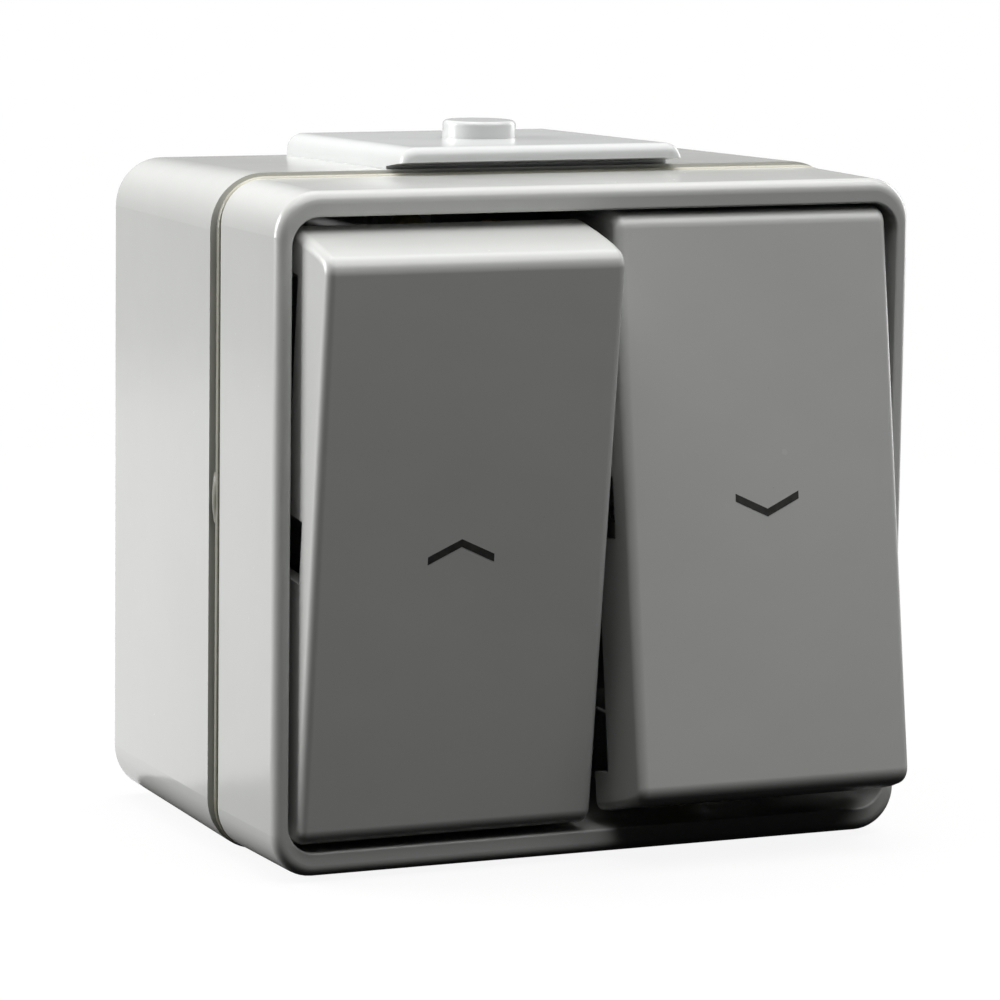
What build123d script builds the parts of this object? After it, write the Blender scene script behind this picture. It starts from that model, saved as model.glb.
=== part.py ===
"""Surface-mounted, splash-proof roller shutter switch with two rockers.

Finished frame: X to the right, Y into the wall, Z up, in millimetres, with the
origin at the middle of the face that lies on the wall. Each piece is drawn
lying on its back, with x to the right, y up and z out of the wall, the way it
leaves its mould, and stand_up() turns it upright when it is written.
"""
from build123d import *
from math import atan, cos, degrees, radians, sin, sqrt
import os

# Construction
overcut = 1.0              # how far a cutting shape runs past the surface it cuts
root = 0.5                 # how far a piece of a body reaches into the next one
reach_of_pick = 0.1        # tolerance when edges are picked by their place

# Housing: a box against the wall and a frame in front of it
width = 77.0
height = 75.0
base_depth = 33.0
seal_thickness = 2.0
frame_length = 16.7
base_wall = 2.2
base_floor = 2.5
base_flare = 0.7            # how far each side has grown at the open front
base_corner = 5.5
back_edge_round = 0.6

# Front frame
frame_proud = 0.1           # beyond the box's size at the wall, at the front rim
frame_draft = 0.1           # further growth of each side at the joint
frame_corner = 5.0
rim_side = 1.72             # width of the rim beside the opening
rim_end = 2.75              # height of the rim above and below the opening
rim_round = 1.35
opening_corner = 3.2
opening_edge_round = 0.25
seal_inset = 0.3            # seal's bead below the box's edge
seal_web_inset = 0.9        # seal's thinner web, next to the box
seal_web_thickness = 0.9
seal_bead_round = 0.4
tab_length = 8.0            # tabs that centre the frame in the box
tab_thickness = 0.85
tab_reach = 3.5
tab_gap = 2.3               # between a tab and the lug beside it
tab_clearance = 0.15

# Screws of the frame, in lugs behind the ends of the rockers
cover_screw_x = 17.5
cover_screw_inset = 5.6     # from the end of the box to the screw's axis
cover_screw_core = 1.2
cover_head_radius = 1.95
cover_head_height = 2.0
cover_screw_length = 12.0
lug_radius = 3.2
lug_thickness = 1.8
boss_radius = 3.2
boss_nose_radius = 3.0
screw_clearance = 0.05
lug_hole_clearance = 0.3
slot_width = 0.7
slot_depth = 0.8
screw_head_round = 0.6
pilot_spare = 1.0           # depth of a pilot hole beyond the screw's tip

# Screws to the wall, through the floor of the box
wall_hole_side_inset = 10.5 # from the side of the box to the hole's axis
wall_hole_end_inset = 11.5
wall_hole_radius = 2.2
wall_sink_radius = 4.0
wall_sink_depth = 1.4

# Cable entries: a plate with a nub on top, a knock-out below
entry_setback = 15.3        # from the entries' axis to the front of the box
entry_radius = 10.0
entry_wall = 1.5
entry_clearance = 0.1
plate_half_width = 17.5
plate_thickness = 2.6
plate_back = 0.9            # distance of its back edge from the wall
plate_overhang = 1.2        # how far its front edge reaches past the joint
plate_foot_setback = 1.6    # from where it leaves the box to the front of the box
plate_nose_height = 0.95    # height of the front edge's underside above the box
plate_foot_height = 0.35
plate_side_round = 2.0
plate_back_round = 0.6
plate_nose_round = 1.2
nub_radius = 4.25
nub_height = 2.05
nub_round = 0.5
spigot_reach = 4.4          # how far the plate's collar reaches into the box
knockout_groove = 0.8
knockout_skin = 1.0

# Rockers and their pivots
pivot_rise = 8.1            # from the joint to the pivot
face_reach = 12.1           # from the pivot to the rocker's face
skirt_reach = 1.0           # from the pivot to the skirt's edge
rocker_end_gap = 1.15       # between the skirt's end and the frame
rocker_end_draft = 2.25     # how much shorter the face is at each end
rocker_end_bow = 70.0
rocker_side_gap = 0.78
rocker_middle_gap = 2.2
rocker_wall = 1.7
rocker_corner = 1.2
rocker_edge_round = 1.1
notch_width = 7.0
notch_reach = 3.7           # from the face to the notch in each side wall
relief_start = 13.0         # where the side walls become shallow, from the middle
relief_reach = 5.0          # from the pivot to the edge of the shallow side walls
relief_inset = 2.7          # from the shallow part to the skirt's end
swing = 7.2                 # half of the travel, in degrees
lean = 0.9                  # tilt of the middle of the travel, lower end out
clip_half_width = 6.0
clip_thickness = 1.3
clip_hook = 0.8
clip_clearance = 0.05

# Carriers inside the rockers
carrier_side_gap = 3.8      # between the carrier and the rocker's side wall
carrier_half_length = 13.0
carrier_plate = 2.0
carrier_corner = 2.0
hub_radius = 4.0
hub_inset = 2.0             # from the carrier's side to the hub's end
cheek_thickness = 2.0
cheek_inset = 1.0           # from the hub's end to the middle of the cheek
cheek_half_length = 10.4
tail_radius = 3.2
tail_reach = 18.0           # from the pivot to the tail's end
bore_end = 4.2              # from the pivot to the bottom of the plunger's bore
pin_radius = 1.5
pin_running = 0.05
pin_seat = 0.01

# Plungers and springs
plunger_radius = 1.9
plunger_running = 0.15
plunger_back_reach = 8.4
spring_coil_radius = 1.45
spring_wire_radius = 0.25
spring_turns = 3.5

# Insert: bridge, bearing frame and switch body
post_inset = 6.8            # from the end wall to the post's axis
post_radius = 3.6
post_height = 20.0
bridge_thickness = 1.2
bridge_side_rim = 4.0       # how far it reaches past the switch body
bridge_end_rim = 5.0
bridge_tongue_half_width = 8.5
bridge_tongue_gap = 2.3     # between its tongues and the end walls
bridge_clearance = 0.5
insert_screw_radius = 1.45
insert_head_radius = 2.8
insert_head_height = 1.6
insert_screw_length = 9.0
bearing_side_rim = 1.0      # how far the bearing frame reaches past the bridge
bearing_end_rim = 2.0       # and past the switch body
bearing_thickness = 2.8
bearing_corner = 3.0
ear_thickness = 2.2
ear_gap = 0.3
ear_radius = 4.2
ear_foot = 8.0
window_half_width = 4.6
window_half_height = 7.5
body_side_wall = 2.9        # beside the contact chambers
body_post_gap = 4.9         # between the body and the posts
body_back = 5.0             # distance of the body's back from the wall
body_corner = 2.0
chamber_half_width = 6.5
chamber_end_wall = 4.5
chamber_floor = 7.5
chamber_corner = 1.0

# Contacts
contact_gap = 0.3           # left between pieces that press on each other
seesaw_depth = 15.6         # distance of the seesaws' pivots from the wall
seesaw_lift = 1.2           # from the seesaw's pivot to its front surface
seesaw_sheet = 1.0
seesaw_half_width = 4.0
seesaw_end_gap = 3.0        # between the seesaw and the chamber's end
seesaw_corner = 1.0
seesaw_cheek = 0.8
seesaw_cheek_height = 1.4
seesaw_cheek_length = 10.0
seesaw_ratio = 0.8          # turn of a seesaw for each turn of its rocker
tip_radius = 1.75
tip_height = 1.0
tip_inset = 1.5             # from the seesaw's end to the tip's axis
strip_sheet = 1.0
strip_half_width = 3.0
strip_overhang = 4.0
prong_spread = 2.6
prong_half_width = 2.5
prong_shoulder = 4.0        # height of the prongs' straight part
contact_half_width = 2.2
contact_half_land = 3.0
contact_tuck = 1.0          # how far the strip reaches under its terminal
channel_clearance = 0.2

# Terminals
terminal_pitch = 7.8
terminal_half_width = 3.0
terminal_length = 7.5
terminal_height = 7.0
terminal_corner = 0.5
terminal_inset = 0.5        # below the body's edge
terminal_clearance = 0.2
terminal_screw_radius = 1.5
terminal_head_radius = 2.4
terminal_head_height = 1.6
terminal_screw_length = 3.2
wire_radius = 1.4
wire_offset = 5.0           # from the block's outer end to the wire
wire_funnel = 0.4

# Depths that follow
joint_depth = base_depth + seal_thickness
front_depth = joint_depth + frame_length
pivot_depth = joint_depth + pivot_rise
entry_depth = base_depth - entry_setback
plate_nose = joint_depth + plate_overhang
plate_foot = base_depth - plate_foot_setback
head_reach = face_reach - rocker_wall
bridge_front = post_height + bridge_thickness
bearing_front = bridge_front + bearing_thickness
strip_front = chamber_floor + strip_sheet
plunger_tip_reach = pivot_depth - seesaw_depth - seesaw_lift - contact_gap
hole_reach = 2 * front_depth          # long enough to cut right through

# Sizes that follow, across
flare_angle = degrees(atan(base_flare / base_depth))
frame_angle = degrees(atan(frame_draft / frame_length))
joint_width = width + 2 * base_flare
frame_joint_width = width + 2 * (frame_proud + frame_draft)
opening_half_width = width / 2 + frame_proud - rim_side
cavity_width = width - 2 * base_wall
rocker_width = opening_half_width - rocker_side_gap - rocker_middle_gap / 2
rocker_centre = rocker_middle_gap / 2 + rocker_width / 2
carrier_half_width = rocker_width / 2 - rocker_wall - carrier_side_gap
hub_half_length = carrier_half_width - hub_inset
cheek_spread = hub_half_length - cheek_inset
ear_half_span = hub_half_length + ear_gap + ear_thickness
body_half_width = rocker_centre + chamber_half_width + body_side_wall
bridge_half_width = body_half_width + bridge_side_rim
bearing_half_width = bridge_half_width + bearing_side_rim
wall_hole_x = width / 2 - wall_hole_side_inset
tab_offset = cover_screw_x + lug_radius + tab_gap + tab_length / 2

# Sizes that follow, upwards
joint_height = height + 2 * base_flare
frame_joint_height = height + 2 * (frame_proud + frame_draft)
opening_half_height = height / 2 + frame_proud - rim_end
cavity_height = height - 2 * base_wall
skirt_half = opening_half_height - rocker_end_gap
face_half = skirt_half - rocker_end_draft
relief_end = skirt_half - relief_inset
cover_screw_y = height / 2 - cover_screw_inset
wall_hole_y = height / 2 - wall_hole_end_inset
post_y = cavity_height / 2 - post_inset
body_half_height = post_y - post_radius - body_post_gap
bridge_half_height = body_half_height + bridge_end_rim
bridge_tongue_reach = cavity_height / 2 - bridge_tongue_gap
bearing_half_height = body_half_height + bearing_end_rim
chamber_half_height = body_half_height - chamber_end_wall
seesaw_half_length = chamber_half_height - seesaw_end_gap
tip_offset = seesaw_half_length - tip_inset


def stand_up(shape):
    """Turn a piece from its drawing position to its place on the wall."""
    return Rot(90, 0, 0) * shape


def at_height(z):
    return Pos(0, 0, z)


def rod(radius, length):
    """Round bar that starts at the origin and runs outwards along z."""
    return Cylinder(radius, length, align=(Align.CENTER, Align.CENTER, Align.MIN))


def rod_across(radius, half_length):
    """Round bar along x, centred on the origin."""
    return Rot(0, 90, 0) * Cylinder(radius, 2 * half_length)


def slab(half_x, half_y, low, high, corner=0.0):
    """Flat block between two distances from the wall."""
    outline = Rectangle(2 * half_x, 2 * half_y)
    if corner:
        outline = RectangleRounded(2 * half_x, 2 * half_y, corner)
    return extrude(at_height(low) * outline, amount=high - low)


def section_across(points, half_width):
    """Outline given as (y, z) points, drawn out evenly to both sides in x."""
    return extrude(make_face(Plane.YZ * Polyline(*points, close=True)), amount=half_width, both=True)


def four_corners(x, y):
    return [(x * side, y * end) for side in (-1, 1) for end in (1, -1)]


def slotted_screw(core, length, head_radius, head_height, slots):
    """Screw with its head's underside at the origin and its shank behind it."""
    head = rod(head_radius, head_height)
    head = fillet(head.edges().sort_by(Axis.Z)[-1], screw_head_round)
    screw = head + at_height(-length) * rod(core, length)
    slot = at_height(head_height) * Box(2 * head_radius + overcut, slot_width, 2 * slot_depth)
    for number in range(slots):
        screw -= Rot(0, 0, 90 * number) * slot
    return screw


# Housing

def box_outside():
    outline = RectangleRounded(width, height, base_corner)
    block = extrude(outline, amount=base_depth, taper=-flare_angle)
    return fillet(block.edges().group_by(Axis.Z)[0], back_edge_round)


def base_housing():
    outside = box_outside()
    cavity = RectangleRounded(cavity_width, cavity_height, base_corner - base_wall)
    box = outside - extrude(at_height(base_floor) * cavity, amount=base_depth, taper=-flare_angle)
    for x, y in four_corners(cover_screw_x, cover_screw_y):
        side = 1 if y > 0 else -1
        column = Pos(x, y, 0) * rod(boss_radius, base_depth)
        reach = height / 2 - cover_screw_y
        web = Pos(x, y + side * reach / 2, base_depth / 2) * Box(2 * boss_radius, reach, base_depth)
        box += (column + web) & outside
        box += Pos(x, y, base_depth) * rod(boss_nose_radius, seal_thickness)
        pilot = cover_screw_length - lug_thickness + pilot_spare
        box -= Pos(x, y, joint_depth - pilot) * rod(cover_screw_core + screw_clearance, pilot)
    for y in (post_y, -post_y):
        box += Pos(0, y, base_floor) * rod(post_radius, post_height - base_floor)
        pilot = insert_screw_length + pilot_spare
        box -= Pos(0, y, post_height - pilot) * rod(insert_screw_radius + screw_clearance, pilot)
    for x, y in four_corners(wall_hole_x, wall_hole_y):
        sink_top = Pos(x, y, base_floor - wall_sink_depth)
        box -= Pos(x, y, 0) * Cylinder(wall_hole_radius, hole_reach)
        box -= sink_top * Cone(wall_hole_radius, wall_sink_radius, wall_sink_depth,
                               align=(Align.CENTER, Align.CENTER, Align.MIN))
    bore = Cylinder(entry_radius + entry_clearance, 2 * spigot_reach)
    box -= Pos(0, height / 2, entry_depth) * Rot(90, 0, 0) * bore
    surface = height / 2 + base_flare * entry_depth / base_depth
    groove_depth = base_wall - knockout_skin
    groove = Cylinder(entry_radius, 2 * groove_depth)
    groove -= Cylinder(entry_radius - knockout_groove, 2 * groove_depth)
    box -= Pos(0, -surface, entry_depth) * Rot(90, 0, 0) * groove
    return box


def seal_layer(inset, low, high):
    outline = RectangleRounded(joint_width - 2 * inset, joint_height - 2 * inset, base_corner)
    return extrude(at_height(low) * outline, amount=high - low)


def housing_seal():
    """Ring with a thin web next to the box and a round bead next to the frame."""
    bead = seal_layer(seal_inset, base_depth + seal_web_thickness, joint_depth)
    bead = fillet(bead.edges().group_by(Axis.Z)[0] + bead.edges().group_by(Axis.Z)[-1], seal_bead_round)
    seal = bead + seal_layer(seal_web_inset, base_depth, joint_depth)
    inner_width = joint_width - 2 * base_wall
    inner_height = joint_height - 2 * base_wall
    return seal - slab(inner_width / 2, inner_height / 2, 0, front_depth, base_corner - base_wall)


def frame_lug(x, y):
    """Lug for a screw, joined to the inside of the frame's upper or lower wall."""
    reach = opening_half_height - abs(y) + rim_end / 2
    side = 1 if y > 0 else -1
    lug = Circle(lug_radius) + Pos(0, side * reach / 2) * Rectangle(2 * lug_radius, reach)
    lug -= Circle(cover_screw_core + lug_hole_clearance)
    return extrude(Pos(x, y, joint_depth) * lug, amount=lug_thickness)


def frame_tab(x, side):
    """Tab that reaches into the box and centres the frame."""
    outer = joint_height / 2 - base_wall - tab_clearance
    y = side * (outer - tab_thickness / 2)
    z = joint_depth + (lug_thickness - tab_reach) / 2
    return Pos(x, y, z) * Box(tab_length, tab_thickness, tab_reach + lug_thickness)


def cover_frame():
    outline = RectangleRounded(frame_joint_width, frame_joint_height, frame_corner)
    block = extrude(at_height(joint_depth) * outline, amount=frame_length, taper=frame_angle)
    block = fillet(block.edges().group_by(Axis.Z)[-1], rim_round)
    frame = block - slab(opening_half_width, opening_half_height, joint_depth, front_depth, opening_corner)
    inner = frame.edges().filter_by(lambda edge: edge.center().Z > front_depth - reach_of_pick)
    inner = inner.filter_by(lambda edge: abs(edge.center().X) < opening_half_width + reach_of_pick)
    inner = inner.filter_by(lambda edge: abs(edge.center().Y) < opening_half_height + reach_of_pick)
    frame = fillet(inner, opening_edge_round)
    for x, y in four_corners(cover_screw_x, cover_screw_y):
        frame += frame_lug(x, y)
    for x, side in four_corners(tab_offset, 1):
        frame += frame_tab(x, side)
    return frame


def cover_screw():
    return slotted_screw(cover_screw_core, cover_screw_length, cover_head_radius, cover_head_height, 1)


def cable_entry_plate():
    """Plate on the box's sloping top, with a nose that overhangs the joint."""
    slope = base_flare / base_depth
    surface = height / 2
    foot = surface - overcut
    back_top = surface + plate_thickness + slope * plate_back
    nose_top = surface + plate_thickness + slope * plate_nose
    outline = [(foot, plate_back), (back_top, plate_back), (nose_top, plate_nose), (foot, plate_nose)]
    plate = section_across(outline, plate_half_width)
    sides = plate_half_width - reach_of_pick
    edges = plate.faces().sort_by(Axis.Y)[-1].edges()
    plate = fillet(edges.filter_by(lambda edge: abs(edge.center().X) > sides), plate_side_round)
    for place, radius in ((0, plate_back_round), (-1, plate_nose_round)):
        across = plate.faces().sort_by(Axis.Y)[-1].edges().filter_by(Axis.X)
        plate = fillet(across.sort_by(Axis.Z)[place], radius)
    under = [
        (foot - overcut, plate_foot),
        (surface + plate_foot_height + slope * plate_foot, plate_foot),
        (surface + plate_nose_height + slope * plate_nose, plate_nose),
        (surface + plate_nose_height + slope * plate_nose, plate_nose + overcut),
        (foot - overcut, plate_nose + overcut),
    ]
    plate -= section_across(under, plate_half_width + overcut)
    plate -= box_outside()
    top = surface + plate_thickness + slope * entry_depth
    nub = Rot(-90, 0, 0) * rod(nub_radius, nub_height + root)
    nub = Pos(0, top - root, entry_depth) * nub
    plate += fillet(nub.edges().sort_by(Axis.Y)[-1], nub_round)
    collar = Cylinder(entry_radius, spigot_reach) - Cylinder(entry_radius - entry_wall, spigot_reach)
    seat = surface + plate_thickness / 2
    plate += Pos(0, seat - spigot_reach / 2, entry_depth) * Rot(90, 0, 0) * collar
    return plate


# Rockers, drawn round their pivot

def rocker_section(skirt, face, reach, foot):
    """Section of a rocker: bowed ends that follow its swing, closed over the face."""
    points = [(-skirt, foot), (-face, reach), (face, reach), (skirt, foot)]
    left_foot, left_top, right_top, right_foot = [(0, y, z) for y, z in points]
    ends = Curve() + [
        ThreePointArc(left_foot, bow_point(left_foot, left_top), left_top),
        Line(left_top, right_top),
        ThreePointArc(right_top, bow_point(right_top, right_foot), right_foot),
        Line(right_foot, left_foot),
    ]
    return make_face(ends)


def bow_point(start, end):
    """Middle point of an end's curve, pushed outwards by the bow."""
    middle_y = (start[1] + end[1]) / 2
    middle_z = (start[2] + end[2]) / 2
    half_chord = sqrt((start[1] - end[1]) ** 2 + (start[2] - end[2]) ** 2) / 2
    rise = rocker_end_bow - sqrt(rocker_end_bow ** 2 - half_chord ** 2)
    return (0, middle_y + (rise if middle_y > 0 else -rise), middle_z)


def clip(side):
    """Hooked wall that snaps over one end of the carrier's plate."""
    y = carrier_half_length + clip_clearance
    under = head_reach - carrier_plate - clip_clearance
    points = [
        (y, head_reach + rocker_wall / 2),
        (y + clip_thickness, head_reach + rocker_wall / 2),
        (y + clip_thickness, under - 3 * clip_hook),
        (y, under - 3 * clip_hook),
        (y - clip_hook, under - clip_hook),
        (y - clip_hook, under),
        (y, under),
    ]
    return section_across([(side * point_y, z) for point_y, z in points], clip_half_width)


def rocker():
    half = rocker_width / 2
    outside = rocker_section(skirt_half, face_half, face_reach, skirt_reach)
    cap = extrude(outside, amount=half, both=True)
    sides = cap.edges().filter_by(lambda edge: abs(edge.center().X) > half - reach_of_pick)
    cap = fillet(sides.filter_by(lambda edge: abs(edge.center().Y) > face_half), rocker_corner)
    cap = fillet(cap.faces().sort_by(Axis.Z)[-1].edges(), rocker_edge_round)
    low = skirt_reach - overcut
    hollow = rocker_section(skirt_half - rocker_wall, face_half - rocker_wall, head_reach, low)
    cap -= extrude(hollow, amount=half - rocker_wall, both=True)
    cap -= slab(rocker_width, notch_width / 2, low, face_reach - notch_reach)
    relief = slab(rocker_width, (relief_end - relief_start) / 2, low, relief_reach)
    for side in (-1, 1):
        cap -= Pos(0, side * (relief_start + relief_end) / 2, 0) * relief
    return cap + clip(1) + clip(-1)


def carrier():
    under = head_reach - carrier_plate
    plate = slab(carrier_half_width, carrier_half_length, under, head_reach, carrier_corner)
    hub = rod_across(hub_radius, hub_half_length)
    top = head_reach - carrier_plate / 2
    outline = [(-hub_radius, 0), (-cheek_half_length, top), (cheek_half_length, top), (hub_radius, 0)]
    cheek = section_across(outline, cheek_thickness / 2)
    tail = at_height(-tail_reach) * rod(tail_radius, tail_reach + top)
    body = plate + hub + tail
    for side in (-1, 1):
        body += Pos(side * cheek_spread, 0, 0) * cheek
    body -= rod_across(pin_radius + pin_running, hub_half_length + overcut)
    bore = rod(plunger_radius + plunger_running, tail_reach - bore_end)
    return body - at_height(-tail_reach) * bore


def pivot_pin():
    return rod_across(pin_radius, ear_half_span)


def plunger():
    """Pin with a round tip that the spring presses on to the seesaw."""
    round_centre = plunger_radius - plunger_tip_reach
    shank = at_height(round_centre) * rod(plunger_radius, -plunger_back_reach - round_centre)
    return shank + at_height(round_centre) * Sphere(plunger_radius)


def plunger_spring():
    low = -plunger_back_reach + spring_wire_radius
    length = plunger_back_reach - bore_end - 2 * spring_wire_radius
    path = at_height(low) * Helix(length / spring_turns, length, spring_coil_radius)
    wire = Plane(origin=path @ 0, z_dir=path % 0) * Circle(spring_wire_radius)
    return sweep(wire, path=path)


# Insert

def mounting_bridge():
    outline = RectangleRounded(2 * bridge_half_width, 2 * bridge_half_height, bearing_corner)
    outline += RectangleRounded(2 * bridge_tongue_half_width, 2 * bridge_tongue_reach, bearing_corner)
    outline -= Rectangle(2 * (body_half_width + bridge_clearance), 2 * (body_half_height + bridge_clearance))
    for y in (post_y, -post_y):
        outline -= Pos(0, y) * Circle(insert_screw_radius + lug_hole_clearance)
    return extrude(at_height(post_height) * outline, amount=bridge_thickness)


def insert_screw():
    return slotted_screw(insert_screw_radius, insert_screw_length + bridge_thickness,
                         insert_head_radius, insert_head_height, 2)


def ear():
    """Bearing ear round the pivot, standing on the bearing frame."""
    foot = bearing_front - pivot_depth
    outline = [(-ear_foot, foot), (ear_foot, foot), (ear_radius, 0), (-ear_radius, 0)]
    web = section_across(outline, ear_thickness / 2)
    boss = rod_across(ear_radius, ear_thickness / 2)
    return web + boss - rod_across(pin_radius + pin_seat, ear_thickness)


def bearing_frame():
    frame = slab(bearing_half_width, bearing_half_height, bridge_front, bearing_front, bearing_corner)
    for side in (-1, 1):
        centre = side * rocker_centre
        frame -= Pos(centre, 0, 0) * slab(window_half_width, window_half_height, 0, front_depth)
        for offset in (-1, 1):
            x = centre + offset * (ear_half_span - ear_thickness / 2)
            frame += Pos(x, 0, pivot_depth) * ear()
    return frame


def terminal_places():
    """Name, x, and end of the body (1 up, -1 down) of each terminal."""
    return [("line", 0.0, -1), ("up", -terminal_pitch, -1), ("down", terminal_pitch, 1)]


def turned(shape, end):
    """Piece drawn for the lower end, turned half round for the upper one."""
    return shape if end < 0 else Rot(0, 0, 180) * shape


def terminal_block():
    """Clamp block at the lower end of the body, over its contact strip."""
    outer = -body_half_height + terminal_inset
    centre_y = outer + terminal_length / 2
    block = Pos(0, centre_y, 0) * slab(terminal_half_width, terminal_length / 2, strip_front,
                                       strip_front + terminal_height, terminal_corner)
    middle = strip_front + terminal_height / 2
    thread = rod(terminal_screw_radius + screw_clearance, terminal_screw_length)
    block -= Pos(0, outer, middle) * Rot(-90, 0, 0) * thread
    return block - Pos(0, outer + wire_offset, 0) * rod(wire_radius, hole_reach)


def terminal_screw():
    screw = slotted_screw(terminal_screw_radius, terminal_screw_length, terminal_head_radius,
                          terminal_head_height, 1)
    outer = -body_half_height + terminal_inset
    return Pos(0, outer, strip_front + terminal_height / 2) * Rot(90, 0, 0) * screw


def switch_body():
    body = slab(body_half_width, body_half_height, body_back, bridge_front, body_corner)
    for side in (-1, 1):
        chamber = slab(chamber_half_width, chamber_half_height, chamber_floor, front_depth, chamber_corner)
        body -= Pos(side * rocker_centre, 0, 0) * chamber
    web_half = rocker_centre - chamber_half_width + channel_clearance
    channel_top = strip_front + channel_clearance
    body -= slab(web_half, strip_half_width + channel_clearance, chamber_floor, channel_top)
    pocket_half = terminal_half_width + terminal_clearance
    pocket_inner = body_half_height - terminal_inset - terminal_length - terminal_clearance
    for name, x, end in terminal_places():
        pocket_outer = body_half_height + overcut
        pocket_top = strip_front + terminal_height + terminal_clearance
        pocket = slab(pocket_half, (pocket_outer - pocket_inner) / 2, chamber_floor, pocket_top)
        pocket = Pos(0, -(pocket_inner + pocket_outer) / 2, 0) * pocket
        wire_y = -body_half_height + terminal_inset + wire_offset
        pocket += Pos(0, wire_y, body_back) * rod(wire_radius + wire_funnel, chamber_floor - body_back)
        body -= Pos(x, 0, 0) * turned(pocket, end)
    leg_reach = pocket_inner + overcut
    leg = slab(contact_half_width + channel_clearance, leg_reach / 2, chamber_floor, channel_top)
    body -= Pos(0, -leg_reach / 2, 0) * leg
    for end in (-1, 1):
        inner = terminal_pitch - terminal_half_width
        middle = (inner + web_half) / 2
        half_channel = contact_half_width + channel_clearance
        channel = slab((web_half - inner) / 2, half_channel, chamber_floor, channel_top)
        body -= turned(Pos(-middle, -tip_offset, 0) * channel, end)
    return body


# Contacts

def seesaw():
    """Contact rocker with raised cheeks, drawn round its own pivot."""
    low = seesaw_lift - seesaw_sheet
    plate = slab(seesaw_half_width, seesaw_half_length, low, seesaw_lift, seesaw_corner)
    cheek_middle = seesaw_lift + seesaw_cheek_height / 2
    for side in (-1, 1):
        x = side * (seesaw_half_width - seesaw_cheek / 2)
        plate += Pos(x, 0, cheek_middle) * Box(seesaw_cheek, seesaw_cheek_length, seesaw_cheek_height)
    return plate


def moving_tip():
    low = seesaw_lift - seesaw_sheet - tip_height
    return Pos(0, -tip_offset, low) * rod(tip_radius, tip_height)


def link_strip():
    """Supply strip under both seesaws, with a leg to the line terminal."""
    half = rocker_centre + strip_overhang
    strip = slab(half, strip_half_width, chamber_floor, strip_front)
    reach = tip_offset + contact_half_width
    strip += Pos(0, -reach / 2, 0) * slab(contact_half_width, reach / 2, chamber_floor, strip_front)
    knife = seesaw_depth + seesaw_lift - seesaw_sheet - contact_gap
    shoulder = strip_front + prong_shoulder
    outline = [(-prong_half_width, chamber_floor), (prong_half_width, chamber_floor),
               (prong_half_width, shoulder), (0, knife), (-prong_half_width, shoulder)]
    prong = section_across(outline, strip_sheet / 2)
    for side in (-1, 1):
        for offset in (-prong_spread, prong_spread):
            strip += Pos(side * rocker_centre + offset, 0, 0) * prong
    return strip


def closed_tip_reach():
    """How far the moving tip's lowest point has come when its contact is closed."""
    angle = radians(seesaw_ratio * (swing + lean))
    edge = tip_offset + tip_radius
    low = seesaw_lift - seesaw_sheet - tip_height
    return seesaw_depth + low * cos(angle) - edge * sin(angle)


def land_height():
    return closed_tip_reach() - contact_gap - tip_height


def fixed_contact():
    """Strip from the terminal into the chamber, bent up to a land for the tip."""
    start = -terminal_pitch + terminal_half_width - contact_tuck
    near = -rocker_centre + contact_half_land
    far = -rocker_centre - contact_half_land
    land = land_height()
    outline = [(start, chamber_floor), (start, strip_front), (near + strip_sheet, strip_front),
               (near + strip_sheet, land), (far, land), (far, land - strip_sheet), (near, land - strip_sheet),
               (near, chamber_floor)]
    face = make_face(Plane.XZ * Polyline(*outline, close=True))
    return Pos(0, -tip_offset, 0) * extrude(face, amount=contact_half_width, both=True)


def fixed_tip():
    return Pos(-rocker_centre, -tip_offset, land_height()) * rod(tip_radius, tip_height)


def all_pieces():
    """Every piece in its place, lying on its back, by name."""
    pieces = {
        "base_housing": base_housing(),
        "housing_seal": housing_seal(),
        "cover_frame": cover_frame(),
        "cable_entry_plate": cable_entry_plate(),
        "mounting_bridge": mounting_bridge(),
        "bearing_frame": bearing_frame(),
        "switch_body": switch_body(),
        "link_strip": link_strip(),
        "insert_screw_top": Pos(0, post_y, bridge_front) * insert_screw(),
        "insert_screw_bottom": Pos(0, -post_y, bridge_front) * insert_screw(),
    }
    head_seat = joint_depth + lug_thickness
    for number, (x, y) in enumerate(four_corners(cover_screw_x, cover_screw_y), start=1):
        pieces[f"cover_screw_{number}"] = Pos(x, y, head_seat) * cover_screw()
    for name, x, end in terminal_places():
        pieces[f"terminal_{name}"] = Pos(x, 0, 0) * turned(terminal_block(), end)
        pieces[f"terminal_screw_{name}"] = Pos(x, 0, 0) * turned(terminal_screw(), end)
    # The left rocker rests with its upper end out, the right one with its lower end out
    for name, side, tilt in (("left", -1, swing - lean), ("right", 1, -swing - lean)):
        end = side
        pivot = Pos(side * rocker_centre, 0, pivot_depth)
        tilted = pivot * Rot(tilt, 0, 0)
        pieces[f"{name}_rocker"] = tilted * rocker()
        pieces[f"{name}_carrier"] = tilted * carrier()
        pieces[f"{name}_plunger"] = tilted * plunger()
        pieces[f"{name}_plunger_spring"] = tilted * plunger_spring()
        pieces[f"{name}_pivot_pin"] = pivot * pivot_pin()
        rocking = Pos(side * rocker_centre, 0, seesaw_depth) * Rot(-seesaw_ratio * tilt, 0, 0)
        pieces[f"{name}_seesaw"] = rocking * seesaw()
        pieces[f"{name}_seesaw_tip"] = rocking * turned(moving_tip(), end)
        pieces[f"{name}_fixed_contact"] = turned(fixed_contact(), end)
        pieces[f"{name}_fixed_tip"] = turned(fixed_tip(), end)
    return pieces


os.makedirs("parts", exist_ok=True)
for node, piece in all_pieces().items():
    export_step(stand_up(piece), f"parts/{node}.step")
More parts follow.
